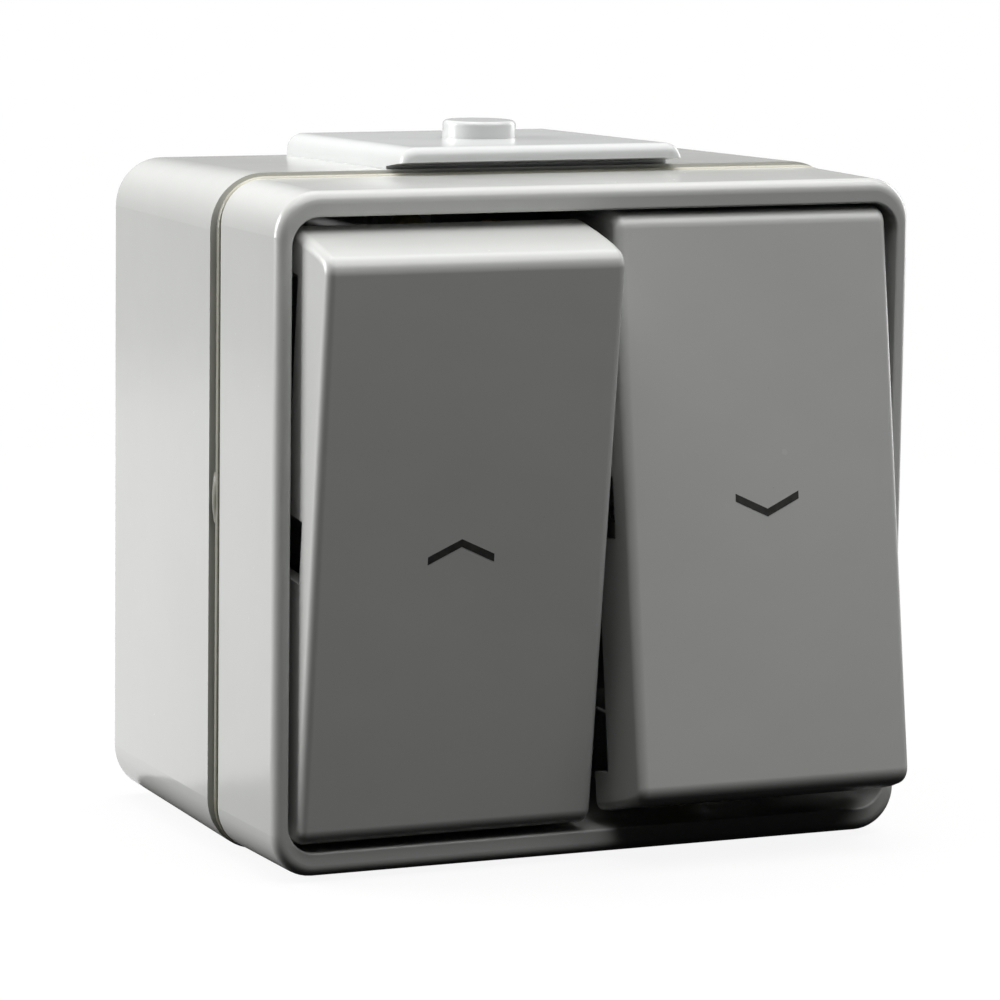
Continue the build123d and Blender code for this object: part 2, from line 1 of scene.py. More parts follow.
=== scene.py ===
"""Looks of a surface-mounted, splash-proof roller shutter switch with two rockers.

Lengths are in metres: X to the right, Y into the wall, Z up, with the origin
at the middle of the face that lies on the wall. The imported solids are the
frame. This file gives them their finishes, puts caps over the rockers, adds
the arrows and the mark that the seal's gate leaves, and sets up the studio.
"""

import math

import bmesh
import bpy
from bpy.props import FloatProperty, FloatVectorProperty, PointerProperty
from mathutils import Matrix, Vector


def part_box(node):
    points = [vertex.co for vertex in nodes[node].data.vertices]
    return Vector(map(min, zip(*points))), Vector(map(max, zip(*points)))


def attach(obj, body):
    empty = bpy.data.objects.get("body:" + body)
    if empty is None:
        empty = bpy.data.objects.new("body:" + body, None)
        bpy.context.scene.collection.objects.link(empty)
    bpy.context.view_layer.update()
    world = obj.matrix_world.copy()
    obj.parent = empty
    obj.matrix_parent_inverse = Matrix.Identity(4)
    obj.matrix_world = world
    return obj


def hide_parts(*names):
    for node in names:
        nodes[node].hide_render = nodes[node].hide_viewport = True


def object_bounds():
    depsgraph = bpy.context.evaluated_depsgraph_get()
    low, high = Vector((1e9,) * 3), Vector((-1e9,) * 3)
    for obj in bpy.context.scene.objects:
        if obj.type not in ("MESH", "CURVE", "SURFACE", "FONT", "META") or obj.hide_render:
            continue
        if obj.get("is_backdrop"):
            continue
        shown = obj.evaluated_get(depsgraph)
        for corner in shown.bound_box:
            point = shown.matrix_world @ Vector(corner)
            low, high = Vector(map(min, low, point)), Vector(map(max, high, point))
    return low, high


bl_info = {
    "name": "Roller shutter switch",
    "version": (1, 0, 0),
    "blender": (4, 5, 0),
    "location": "3D View > Sidebar > Switch",
    "description": "Finishes, print and studio for a surface-mounted roller shutter switch",
    "category": "Object",
}

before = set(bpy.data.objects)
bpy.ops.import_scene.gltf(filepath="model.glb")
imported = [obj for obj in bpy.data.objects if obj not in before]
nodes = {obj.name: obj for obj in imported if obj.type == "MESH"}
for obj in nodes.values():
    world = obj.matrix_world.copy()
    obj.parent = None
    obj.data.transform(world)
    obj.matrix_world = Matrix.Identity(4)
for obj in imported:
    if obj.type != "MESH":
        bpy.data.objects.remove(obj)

ARC_STEPS = 10              # flat strips in each rounding of a cap
BOW_STEPS = (0.0, 0.2, 0.4, 0.6, 0.75)      # shares of a cap's end at which its bulge is laid out
CUT_SPARE = 0.001           # how far a cut reaches past what it clears
SHARP_ANGLE = math.radians(35.0)            # edges of a cap that turn more than this stay sharp
GATE_ROUNDS, GATE_RINGS = 24, 6             # steps round the gate's mark and from its middle out
GATE_BULGE = 0.22           # how far the mark stands out, as a share of its width

FLOOR_HALF = 4.0            # half of the floor's side
FLOOR_PALE = 0.9            # colour of the floor where the shadow shows
SHADOW_CORE = 0.3           # share of the shadow's reach over which it keeps its strength
FLAG_HALF = 1.6             # half of the grey card's width
FLAG_PLAIN = 0.55           # share of the card's height below which it has one grey
CLOTH_HALF = 1.2            # half of the dark cloth's width
CLOTH_LIFT = 0.0005         # height of the lying cloth above the floor
SENSOR_WIDTH = 36.0         # millimetres
CAMERA_NEAR, CAMERA_FAR = 0.01, 20.0


# Settings

def length(name, default, description, low=0.0, high=1.0):
    return FloatProperty(name=name, description=description, default=default, min=low,
                         max=high, subtype="DISTANCE", unit="LENGTH", precision=5)


def share(name, default, description, high=1.0):
    return FloatProperty(name=name, description=description, default=default, min=0.0,
                         max=high)


def angle(name, degrees, description):
    return FloatProperty(name=name, description=description, default=math.radians(degrees),
                         subtype="ANGLE", unit="ROTATION")


def direction(name, towards, description):
    return FloatVectorProperty(name=name, description=description, default=towards,
                               subtype="DIRECTION", size=3)


def colour(name, red, green, blue, description):
    return FloatVectorProperty(name=name, description=description, default=(red, green, blue),
                               min=0.0, max=1.0, subtype="COLOR", size=3)


class SwitchColours(bpy.types.PropertyGroup):
    """Colours of the switch's plastics, rubber, metals and print, in linear light"""
    housing: colour("Housing", 0.605, 0.612, 0.592,
                    "Light grey plastic of the box, the front frame and the rockers")
    entry: colour("Cable entry", 0.64, 0.65, 0.645, "Whiter plastic of the cable entry plate")
    seal: colour("Seal", 0.150, 0.146, 0.110, "Khaki rubber of the seal")
    # painted light: the lighter colour painted on the seal's top, standing for light from above
    # that comes through it
    seal_painted_light: colour("Seal, lit", 0.52, 0.50, 0.40, "The seal where light comes through it")
    insert: colour("Insert", 0.36, 0.36, 0.345,
                   "Grey plastic of the switch body and bearing frame")
    carrier: colour("Carrier", 0.16, 0.155, 0.145, "Dark plastic of the carriers and plungers")
    brass: colour("Brass", 0.62, 0.52, 0.26, "Plated screws")
    contact: colour("Contact", 0.72, 0.50, 0.24, "Contact sheet")
    silver: colour("Contact tips", 0.78, 0.77, 0.74, "Silver contact tips")
    # painted shade: this steel is darker than bare steel, so that the bridge deep in the gap
    # behind the rockers shows dark
    steel: colour("Steel", 0.36, 0.365, 0.37, "Bridge, pins and springs")
    print_ink: colour("Print", 0.022, 0.022, 0.020, "Ink of the arrows")


class SwitchDetail(bpy.types.PropertyGroup):
    """Sizes of what is printed or moulded on the switch"""
    arrow_half_width: length("Arrow half width", 0.00395, "Half the width of an arrow")
    arrow_height: length("Arrow height", 0.00185, "Rise from the arrow's ends to its point")
    arrow_stroke: length("Arrow stroke", 0.00088,
                         "Height of the arrow's stroke, measured upright")
    arrow_film: length("Ink film", 0.00002, "How far the ink stands on the rocker's face")
    left_arrow_x: length("Left arrow offset", -0.00024,
                         "Left arrow to the right of its rocker's middle", -1.0)
    left_arrow_up: length("Left arrow rise", 0.00030,
                          "Left arrow above its rocker's middle", -1.0)
    right_arrow_x: length("Right arrow offset", 0.00022,
                          "Right arrow to the right of its rocker's middle", -1.0)
    right_arrow_up: length("Right arrow rise", -0.00045,
                           "Right arrow above its rocker's middle", -1.0)
    gate_length: length("Gate length", 0.0058,
                        "Length of the mark that the gate leaves on the seal")
    gate_width: length("Gate width", 0.0012, "Width of that mark")
    gate_height: length("Gate height", 0.0023,
                        "Height of that mark above the switch's middle", -1.0)


class SwitchCaps(bpy.types.PropertyGroup):
    """Sizes of the rockers' caps, from the axis that each cap is shaped about"""
    left_middle: length("Left middle", -0.0184875,
                        "Left cap's middle, to the right of the switch's", -1.0)
    right_middle: length("Right middle", 0.01843,
                         "Right cap's middle, to the right of the switch's", -1.0)
    left_half_width: length("Left half width", 0.0176125, "Half of the left cap's width")
    right_half_width: length("Right half width", 0.01700, "Half of the right cap's width")
    left_upper: length("Left upper half", 0.03295,
                       "From the axis up to the left face's end, before rounding")
    left_lower: length("Left lower half", 0.03225, "The same downwards")
    right_upper: length("Right upper half", 0.03247,
                        "From the axis up to the right face's end, before rounding")
    right_lower: length("Right lower half", 0.0328, "The same downwards")
    axis_depth: length("Axis depth", 0.0401, "From the wall to the axis")
    face_reach: length("Face reach", 0.0163, "From the axis to the face")
    skirt_reach: length("Skirt reach", 0.0046, "From the axis to the skirt's edge")
    end_draft: length("End draft", 0.0014,
                      "How much further each end reaches at the skirt than at the face")
    end_round: length("End rounding", 0.0020, "Radius between the face and each end")
    side_round: length("Side rounding", 0.0011, "Radius along the sides")
    bow: length("Bow", 0.0002, "How far each end bulges")
    wall: length("Wall", 0.0017, "Thickness of the walls and the face")
    notch_half: length("Notch half length", 0.0035,
                       "Half of the notch in the middle of each side wall")
    notch_reach: length("Notch reach", 0.0037, "From the face to the notch")
    relief_start: length("Relief start", 0.0130,
                         "Where the side walls become shallow, from the middle")
    relief_end: length("Relief end", 0.0297, "Where they become deep again")
    relief_reach: length("Relief reach", 0.0080,
                         "From the axis to the edge of the shallow walls")
    left_tilt: angle("Left tilt", 6.3, "Left rocker at rest, upper end out")
    right_tilt: angle("Right tilt", -8.1, "Right rocker at rest, lower end out")


class SwitchStudio(bpy.types.PropertyGroup):
    """Camera, lamps and floor"""
    camera_azimuth: angle("Camera azimuth", 24.442, "Camera to the left of straight in front")
    camera_elevation: angle("Camera elevation", 8.357, "Camera above the horizon")
    camera_roll: angle("Camera roll", 0.789, "Camera turned about its own line of sight")
    camera_distance: length("Camera distance", 0.56467,
                            "From the camera to the point it looks at", high=10.0)
    target: FloatVectorProperty(name="Target", description="Point that the camera looks at",
                                default=(0.002286, -0.020, -0.001945),
                                subtype="TRANSLATION", unit="LENGTH", size=3)
    lens: FloatProperty(name="Lens", description="Focal length in millimetres", default=173.24,
                        min=1.0)
    top_from: direction("Top lamp from", (0.12, -0.17, 0.978),
                        "From the switch towards the top lamp")
    left_from: direction("Left lamp from", (-1.0, 0.62, 0.34),
                         "From the switch towards the left lamp")
    right_from: direction("Right lamp from", (1.0, 0.40, 0.25),
                          "From the switch towards the right lamp")
    lamp_distance: length("Lamp distance", 0.60, "From each lamp to the switch", high=10.0)
    lamp_size: length("Lamp size", 0.34, "Side of each side lamp's soft box", high=10.0)
    top_lamp_size: length("Top lamp size", 0.85, "Side of the top lamp's soft box", high=10.0)
    top_light: share("Top light", 1.90, "Light on a face turned to the top lamp", 4.0)
    left_light: share("Left light", 1.14, "Light on a face turned to the left lamp", 4.0)
    right_light: share("Right light", 0.35, "Light on a face turned to the right lamp", 4.0)
    sky: share("Room", 0.006, "Light from the room on all faces", 4.0)
    floor_grey: share("Floor", 0.01, "How much light the floor throws back on the switch")
    floor_shadow: share("Floor shadow", 0.10,
                        "How strongly the switch's shadow shows on the white floor")
    shadow_reach: length("Shadow reach", 0.30,
                         "Distance from the switch at which its shadow has faded out", high=10.0)
    flag_distance: length("Flag distance", 0.40,
                          "From the switch to the grey card behind it", high=10.0)
    flag_height: length("Flag height", 0.30, "Top of the grey card above the floor", high=10.0)
    flag_level: share("Flag level", 0.10, "Grey of the card where it stands on the floor")
    cloth_distance: length("Cloth distance", 0.45,
                           "From the switch to the dark cloth in front of it", high=10.0)
    cloth_height: length("Cloth height", 0.40, "Top of the dark cloth above the floor", high=10.0)
    cloth_level: share("Cloth level", 0.01, "Grey of the dark cloth")


# Shader graphs

class Level:
    """A socket that carries one number; arithmetic on it adds Math nodes."""

    def __init__(self, finish, socket):
        self.finish = finish
        self.socket = socket

    def _math(self, operation, first, second, clamp=False):
        values = {0: first, 1: second}
        settings = {"operation": operation, "use_clamp": clamp}
        return Level(self.finish, self.finish.node("ShaderNodeMath", settings, values).outputs[0])

    def __add__(self, other):
        return self._math("ADD", self, other)

    __radd__ = __add__

    def __sub__(self, other):
        return self._math("SUBTRACT", self, other)

    def __rsub__(self, other):
        return self._math("SUBTRACT", other, self)

    def __mul__(self, other):
        return self._math("MULTIPLY", self, other)

    __rmul__ = __mul__

    def __truediv__(self, other):
        return self._math("DIVIDE", self, other)

    def __rtruediv__(self, other):
        return self._math("DIVIDE", other, self)

    def clamped(self):
        return self._math("ADD", self, 0.0, clamp=True)

    def ramp(self, low, high):
        """0 below low, 1 above high, and straight between them."""
        return ((self - low) / (high - low)).clamped()


class Graph:
    """A tree of shader nodes, all added and wired in one way."""

    def __init__(self, tree):
        self.tree = tree
        self.tree.nodes.clear()

    def node(self, kind, settings=None, values=None):
        """Add a node; settings go first, then the values or links of its sockets."""
        made = self.tree.nodes.new(kind)
        for key, value in (settings or {}).items():
            setattr(made, key, value)
        for key, value in (values or {}).items():
            self.feed(self._socket(made, key), value)
        return made

    @staticmethod
    def _socket(made, key):
        if isinstance(key, int):
            return made.inputs[key]
        return next((s for s in made.inputs if s.identifier == key), None) or made.inputs[key]

    def feed(self, socket, value):
        if isinstance(value, Level):
            value = value.socket
        if isinstance(value, bpy.types.NodeSocket):
            self.tree.links.new(value, socket)
        elif socket.type == "RGBA" and len(value) == 3:
            socket.default_value = (*value, 1.0)
        else:
            socket.default_value = value

    def seen(self):
        """1 for what the eye sees, also in reflections and through glass, and 0 for light."""
        path = self.node("ShaderNodeLightPath")
        rays = [Level(self, path.outputs[name])
                for name in ("Is Camera Ray", "Is Glossy Ray", "Is Transmission Ray")]
        return sum(rays[1:], rays[0]).clamped()

    def blend(self, mask, first, second):
        """Shader that goes from first to second with mask."""
        return self.node("ShaderNodeMixShader", None, {0: mask, 1: first, 2: second}).outputs[0]


class Finish(Graph):
    """One procedural material, built up from nodes."""

    def __init__(self, name):
        self.material = bpy.data.materials.new(name)
        self.material.use_nodes = True
        super().__init__(self.material.node_tree)
        self.surface = self.node("ShaderNodeBsdfPrincipled")
        self.output = self.node("ShaderNodeOutputMaterial", None,
                                {"Surface": self.surface.outputs[0]})
        self.place = self.node("ShaderNodeTexCoord").outputs["Object"]

    def set(self, **values):
        """Set or link the surface's own sockets, such as base_color or roughness."""
        for key, value in values.items():
            self.feed(self.surface.inputs[key.replace("_", " ").title()], value)

    def stretched(self, across, deep, up):
        """The place on the object, with each of its axes stretched."""
        return self.node("ShaderNodeVectorMath", {"operation": "MULTIPLY"},
                         {0: self.place, 1: (across, deep, up)}).outputs[0]

    def axis(self, name):
        """Distance from the origin along one axis."""
        return Level(self, self.node("ShaderNodeSeparateXYZ", None, {0: self.place}).outputs[name])

    def noise(self, per_metre, detail=2.0, roughness=0.5, at=None):
        """Cloudy pattern of about 0 to 1."""
        made = self.node("ShaderNodeTexNoise", {"noise_dimensions": "3D"},
                         {"Vector": at or self.place, "Scale": per_metre, "Detail": detail,
                          "Roughness": roughness})
        return Level(self, made.outputs[0])

    def specks(self, per_metre, radius):
        """1 in small round spots, scattered about, and 0 elsewhere."""
        cells = self.node("ShaderNodeTexVoronoi", {"feature": "F1"},
                          {"Vector": self.place, "Scale": per_metre, "Randomness": 1.0})
        return 1.0 - Level(self, cells.outputs["Distance"]).ramp(radius * 0.5, radius)

    def mix(self, mask, first, second):
        """Colour that goes from first to second with mask."""
        made = self.node("ShaderNodeMix", {"data_type": "RGBA"},
                         {"Factor_Float": mask, "A_Color": first, "B_Color": second})
        return next(s for s in made.outputs if s.identifier == "Result_Color")

    def bump(self, height, depth, over=None):
        """Normal of a relief of the stated depth in metres, laid over another one."""
        values = {"Height": height, "Distance": depth}
        if over is not None:
            values["Normal"] = over
        return self.node("ShaderNodeBump", None, values).outputs[0]


# Finishes

def shade(rgb, factor):
    """The colour made lighter or darker."""
    return tuple(min(1.0, channel * factor) for channel in rgb)


def gloss_plastic(name, rgb, roughness=0.20, waviness=0.00003, grain=0.000004):
    """Moulded plastic from a polished tool: faint waves, very fine grain, a few dust specks."""
    finish = Finish(name)
    cloud = finish.noise(45.0, detail=3.0)
    dust = finish.specks(260.0, radius=0.035)
    tinted = finish.mix(cloud.ramp(0.3, 0.7), shade(rgb, 0.975), shade(rgb, 1.02))
    finish.set(base_color=finish.mix(dust * 0.5, tinted, shade(rgb, 0.62)),
               roughness=roughness - 0.03 + cloud * 0.06 + dust * 0.3)
    waves = finish.bump(finish.noise(220.0, detail=1.0), depth=waviness)
    finish.set(normal=finish.bump(finish.noise(5200.0), depth=grain, over=waves))
    return finish.material


def matt_plastic(name, rgb, roughness=0.55):
    """Spark-eroded plastic of the inner parts."""
    finish = Finish(name)
    cloud = finish.noise(90.0, detail=3.0)
    finish.set(base_color=finish.mix(cloud.ramp(0.3, 0.7), shade(rgb, 0.92), shade(rgb, 1.06)),
               roughness=roughness + cloud * 0.1)
    finish.set(normal=finish.bump(finish.noise(4200.0, detail=3.0), depth=0.00002))
    return finish.material


def drawn_metal(name, rgb, roughness=0.28, stretch=(1.0, 40.0, 1.0), tarnish=0.25):
    """Sheet or wire with the lines that drawing and stamping leave."""
    finish = Finish(name)
    lines = finish.noise(700.0, at=finish.stretched(*stretch))
    stain = finish.noise(320.0, detail=4.0, roughness=0.65).ramp(0.45, 0.75)
    finish.set(base_color=finish.mix(stain * tarnish, rgb, shade(rgb, 0.45)), metallic=1.0,
               roughness=roughness + lines * 0.12 + stain * 0.15)
    finish.set(normal=finish.bump(lines, depth=0.000006))
    return finish.material


def seal_rubber(name, rgb, lit, top):
    """Khaki rubber with shiny specks, its top painted lighter: painted light, as if light from
    above came through it.
    """
    finish = Finish(name)
    cloud = finish.noise(160.0, detail=4.0, roughness=0.6)
    # painted light: the top of the seal is painted towards the lit colour by height, standing for
    # light from above
    glow = (finish.axis("Z") / top).ramp(0.90, 0.985)
    tone_and_painted_light = (cloud.ramp(0.35, 0.65) * 0.12 + glow * 0.9).clamped()
    sparkle = finish.noise(2600.0, detail=1.0).ramp(0.66, 0.74)
    finish.set(base_color=finish.mix(tone_and_painted_light, rgb, lit),
               roughness=0.42 - sparkle * 0.3 + cloud * 0.08)
    finish.set(coat_weight=0.35 + sparkle * 0.5, coat_roughness=0.12)
    finish.set(normal=finish.bump(finish.noise(1400.0, detail=3.0), depth=0.00006))
    return finish.material


def ink(name, rgb):
    """Pad-printed ink: dark, dull, a little uneven."""
    finish = Finish(name)
    worn = finish.noise(1800.0, detail=3.0).ramp(0.35, 0.75)
    finish.set(base_color=finish.mix(worn, rgb, shade(rgb, 1.8)), roughness=0.55 + worn * 0.15)
    finish.set(normal=finish.bump(finish.noise(6000.0), depth=0.000004))
    return finish.material


def dress(material, *names):
    """Give CAD nodes one finish."""
    for name in names:
        mesh = nodes[name].data
        mesh.materials.clear()
        mesh.materials.append(material)


def named(*stems):
    """Nodes whose names hold one of these words."""
    return sorted(name for name in nodes if any(stem in name for stem in stems))


# Pieces

def new_piece(name, mesh, material, body):
    """Object that rides a body."""
    piece = bpy.data.objects.new(name, mesh)
    bpy.context.scene.collection.objects.link(piece)
    mesh.materials.append(material)
    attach(piece, body)
    return piece


def mesh_from(name, points, faces, smooth=True):
    mesh = bpy.data.meshes.new(name)
    mesh.from_pydata(points, [], faces)
    mesh.validate()
    if smooth:
        mesh.polygons.foreach_set("use_smooth", [True] * len(mesh.polygons))
    return mesh


class Cap:
    """A rocker's cap; its points are (across, up, out), from its own axis, before it is tilted."""

    def __init__(self, side, sizes):
        self.sizes = sizes
        self.tilt = getattr(sizes, f"{side}_tilt")
        self.across = getattr(sizes, f"{side}_middle")
        self.half_width = getattr(sizes, f"{side}_half_width")
        self.upper = getattr(sizes, f"{side}_upper")
        self.lower = getattr(sizes, f"{side}_lower")
        self.right = Vector((1.0, 0.0, 0.0))
        self.up = Vector((0.0, -math.sin(self.tilt), math.cos(self.tilt)))
        self.out = Vector((0.0, -math.cos(self.tilt), -math.sin(self.tilt)))

    def place(self, across, up, out):
        """Where a point of the cap lies in the switch."""
        start = Vector((self.across, -self.sizes.axis_depth, 0.0))
        return start + self.right * across + self.up * up + self.out * out

    def outline(self):
        """Open outline from foot to foot over the face, as (up, out) points."""
        upper = reversed(self.half_outline(self.upper))
        return self.half_outline(self.lower) + [Vector((-point.x, point.y)) for point in upper]

    def half_outline(self, reach):
        """From the lower foot to the end of the face's rounding."""
        sizes = self.sizes
        foot = Vector((-reach - sizes.end_draft, sizes.skirt_reach))
        corner = Vector((-reach, sizes.face_reach))
        end = (corner - foot).normalized()
        outward = Vector((-end.y, end.x))
        bulge = [foot.lerp(corner, t) + outward * sizes.bow * 4 * t * (1 - t) for t in BOW_STEPS]
        turn = math.acos(end.x)
        tangent = sizes.end_round * math.tan(turn / 2)
        hub = corner - end * tangent - outward * sizes.end_round
        start = math.atan2(outward.y, outward.x)
        turns = [start - turn * step / ARC_STEPS for step in range(ARC_STEPS + 1)]
        arc = [hub + Vector((math.cos(at), math.sin(at))) * sizes.end_round for at in turns]
        return bulge + arc

    def inset(self, outline, depth, foot):
        """The outline moved inwards by depth; its ends keep the height foot."""
        moved = []
        for index, point in enumerate(outline):
            before, after = outline[max(index - 1, 0)], outline[min(index + 1, len(outline) - 1)]
            along = (after - before).normalized()
            moved.append(point + Vector((along.y, -along.x)) * depth)
        moved[0].y = moved[-1].y = foot
        return moved

    def body(self):
        """The cap as a block, with its sides rounded."""
        sizes = self.sizes
        outline = self.outline()
        stations = []
        for step in range(ARC_STEPS + 1):
            turn = math.pi / 2 * (1 - step / ARC_STEPS)
            drop = sizes.side_round * (1 - math.cos(turn))
            stations.append((self.half_width - sizes.side_round * (1 - math.sin(turn)), drop))
        stations = [(-across, drop) for across, drop in stations] + [*reversed(stations)]
        loops = [[(across, *point) for point in self.inset(outline, drop, sizes.skirt_reach)]
                 for across, drop in stations]
        return self.lofted(loops)

    def hollow(self):
        """Block that clears the inside of the cap."""
        sizes = self.sizes
        section = self.inset(self.outline(), sizes.wall, sizes.skirt_reach - CUT_SPARE)
        reach = self.half_width - sizes.wall
        return self.lofted([[(across, *point) for point in section] for across in (-reach, reach)])

    def slab(self, low, high, top):
        """Block across the whole cap that clears its side walls from low to high, up to top."""
        reach = self.half_width + CUT_SPARE
        under = self.sizes.skirt_reach - CUT_SPARE
        section = [(low, under), (low, top), (high, top), (high, under)]
        return self.lofted([[(across, *point) for point in section] for across in (-reach, reach)])

    def lofted(self, loops):
        """Closed block through the loops, each of as many points."""
        count = len(loops[0])
        points = [self.place(*point) for loop in loops for point in loop]
        faces = [tuple(range(count)),
                 tuple(range(len(points) - 1, len(points) - count - 1, -1))]
        for row in range(len(loops) - 1):
            for index in range(count):
                after = (index + 1) % count
                faces.append((row * count + index, (row + 1) * count + index,
                              (row + 1) * count + after, row * count + after))
        made = bmesh.new()
        corners = [made.verts.new(point) for point in points]
        for face in faces:
            made.faces.new([corners[index] for index in face])
        bmesh.ops.recalc_face_normals(made, faces=made.faces)
        mesh = bpy.data.meshes.new("cap_block")
        made.to_mesh(mesh)
        made.free()
        return mesh

    def mesh(self, name):
        """The finished cap: the block less its hollow, the notch and the reliefs."""
        sizes = self.sizes
        cuts = [self.hollow(),
                self.slab(-sizes.notch_half, sizes.notch_half,
                          sizes.face_reach - sizes.notch_reach),
                self.slab(sizes.relief_start, sizes.relief_end, sizes.relief_reach),
                self.slab(-sizes.relief_end, -sizes.relief_start, sizes.relief_reach)]
        return carved(name, self.body(), cuts)


def carved(name, block, cuts):
    """Mesh of a block less some cuts."""
    collection = bpy.context.scene.collection
    piece = bpy.data.objects.new(name, block)
    tools = [bpy.data.objects.new(f"{name}_cut", cut) for cut in cuts]
    for made in (piece, *tools):
        collection.objects.link(made)
    for tool in tools:
        cut = piece.modifiers.new("cut", "BOOLEAN")
        cut.operation, cut.solver, cut.object = "DIFFERENCE", "EXACT", tool
    bpy.context.view_layer.update()
    cut_piece = piece.evaluated_get(bpy.context.evaluated_depsgraph_get())
    mesh = bpy.data.meshes.new_from_object(cut_piece)
    mesh.name = name
    for made in (piece, *tools):
        old = made.data
        bpy.data.objects.remove(made)
        bpy.data.meshes.remove(old)
    mesh.polygons.foreach_set("use_smooth", [True] * len(mesh.polygons))
    mesh.set_sharp_from_angle(angle=SHARP_ANGLE)
    return mesh


def hanging(half, depth, low, height):
    """Corners of an upright card across the view."""
    high = low + height
    return [(-half, depth, low), (half, depth, low), (half, depth, high), (-half, depth, high)]


def lying(half, near, far, height):
    """Corners of a level card."""
    return [(-half, near, height), (half, near, height), (half, far, height), (-half, far, height)]


# Operators

class SWITCH_OT_stage(bpy.types.Operator):
    """Set up the floor, the lamps, the room and the camera"""
    bl_idname = "switch.stage"
    bl_label = "Studio"

    def execute(self, context):
        studio = context.scene.switch_studio
        self.floor(studio)
        self.flag(studio)
        self.cloth(studio)
        self.room(studio)
        self.lamp("top", studio.top_lamp_size, studio)
        self.lamp("left", studio.lamp_size, studio)
        self.lamp("right", studio.lamp_size, studio)
        self.camera(studio)
        context.scene.view_settings.view_transform = "Standard"
        return {"FINISHED"}

    def lamp(self, side, size, studio):
        """Soft box that gives a white surface turned to it that side's level."""
        name = f"{side}_lamp"
        away = Vector(getattr(studio, f"{side}_from")).normalized()
        level = getattr(studio, f"{side}_light")
        data = bpy.data.lights.new(name, "AREA")
        data.shape = "SQUARE"
        data.size = size
        data.energy = level * math.pi ** 2 * studio.lamp_distance ** 2
        lamp = bpy.data.objects.new(name, data)
        lamp.location = Vector(studio.target) + away * studio.lamp_distance
        lamp.rotation_euler = away.to_track_quat("Z", "Y").to_euler()
        bpy.context.scene.collection.objects.link(lamp)

    def room(self, studio):
        """World that is plain white to the eye and in reflections, and dim as a light."""
        world = bpy.data.worlds.new("room")
        bpy.context.scene.world = world
        world.use_nodes = True
        graph = Graph(world.node_tree)
        dim = graph.node("ShaderNodeBackground", None, {"Color": (studio.sky,) * 3})
        white = graph.node("ShaderNodeBackground", None, {"Color": (1.0, 1.0, 1.0)})
        mixed = graph.blend(graph.seen(), dim.outputs[0], white.outputs[0])
        graph.node("ShaderNodeOutputWorld", None, {"Surface": mixed})

    def card(self, name, points, finish, in_sight=True):
        """Flat piece of the studio; out of sight, it shows in reflections only."""
        mesh = mesh_from(name, points, [(0, 1, 2, 3)], smooth=False)
        mesh.materials.append(finish.material)
        card = bpy.data.objects.new(name, mesh)
        bpy.context.scene.collection.objects.link(card)
        card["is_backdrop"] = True
        card.visible_camera = card.visible_diffuse = card.visible_shadow = in_sight

    def glow(self, finish, grey):
        """Shader that shows one grey as it is, in any light."""
        return finish.node("ShaderNodeEmission", None,
                           {"Color": (grey,) * 3, "Strength": 1.0}).outputs[0]

    def floor(self, studio):
        """Pale floor just under the switch: white to the eye, with the switch's soft shadow."""
        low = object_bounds()[0].z
        finish = Finish("floor_paint")
        dull = finish.node("ShaderNodeBsdfDiffuse", None, {"Color": (studio.floor_grey,) * 3})
        pale = finish.node("ShaderNodeBsdfDiffuse", None, {"Color": (FLOOR_PALE,) * 3})
        white = self.glow(finish, 1.0)
        away = finish.node("ShaderNodeVectorMath", {"operation": "LENGTH"}, {0: finish.place})
        near = 1.0 - Level(finish, away.outputs["Value"]).ramp(studio.shadow_reach * SHADOW_CORE,
                                                               studio.shadow_reach)
        shown = finish.blend(1.0 - near * studio.floor_shadow, pale.outputs[0], white)
        finish.feed(finish.output.inputs["Surface"],
                    finish.blend(finish.seen(), dull.outputs[0], shown))
        self.card("floor", lying(FLOOR_HALF, -FLOOR_HALF, FLOOR_HALF, low), finish)

    def flag(self, studio):
        """Grey card behind the switch, out of the camera's sight, that its tops reflect."""
        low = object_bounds()[0].z
        finish = Finish("flag_paint")
        fade = (finish.axis("Z") - low).ramp(studio.flag_height * FLAG_PLAIN, studio.flag_height)
        faded = finish.blend(fade, self.glow(finish, studio.flag_level), self.glow(finish, 1.0))
        finish.feed(finish.output.inputs["Surface"], faded)
        self.card("flag", hanging(FLAG_HALF, studio.flag_distance, low, studio.flag_height),
                  finish, False)

    def cloth(self, studio):
        """Dark cloth that hangs in front of the switch and lies on the floor before it.

        It is out of the camera's sight and throws no shadow: only the glossy fronts show it.
        """
        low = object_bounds()[0].z
        finish = Finish("cloth_paint")
        finish.feed(finish.output.inputs["Surface"], self.glow(finish, studio.cloth_level))
        far = -studio.cloth_distance
        self.card("cloth_hanging", hanging(CLOTH_HALF, far, low, studio.cloth_height),
                  finish, False)
        self.card("cloth_lying", lying(CLOTH_HALF, far, 0.0, low + CLOTH_LIFT), finish, False)

    def camera(self, studio):
        """Camera at the photograph's angle."""
        azimuth, elevation = studio.camera_azimuth, studio.camera_elevation
        back = Vector((-math.sin(azimuth) * math.cos(elevation),
                       -math.cos(azimuth) * math.cos(elevation), math.sin(elevation)))
        right = (-back).cross(Vector((0.0, 0.0, 1.0))).normalized()
        up = right.cross(-back)
        roll = studio.camera_roll
        turned_right = right * math.cos(roll) + up * math.sin(roll)
        turned_up = up * math.cos(roll) - right * math.sin(roll)
        data = bpy.data.cameras.new("photo_camera")
        data.lens = studio.lens
        data.sensor_width = SENSOR_WIDTH
        data.clip_start, data.clip_end = CAMERA_NEAR, CAMERA_FAR
        camera = bpy.data.objects.new("photo_camera", data)
        axes = Matrix((turned_right, turned_up, back)).transposed().to_4x4()
        stand = Vector(studio.target) + back * studio.camera_distance
        camera.matrix_world = Matrix.Translation(stand) @ axes
        bpy.context.scene.collection.objects.link(camera)
        bpy.context.scene.camera = camera


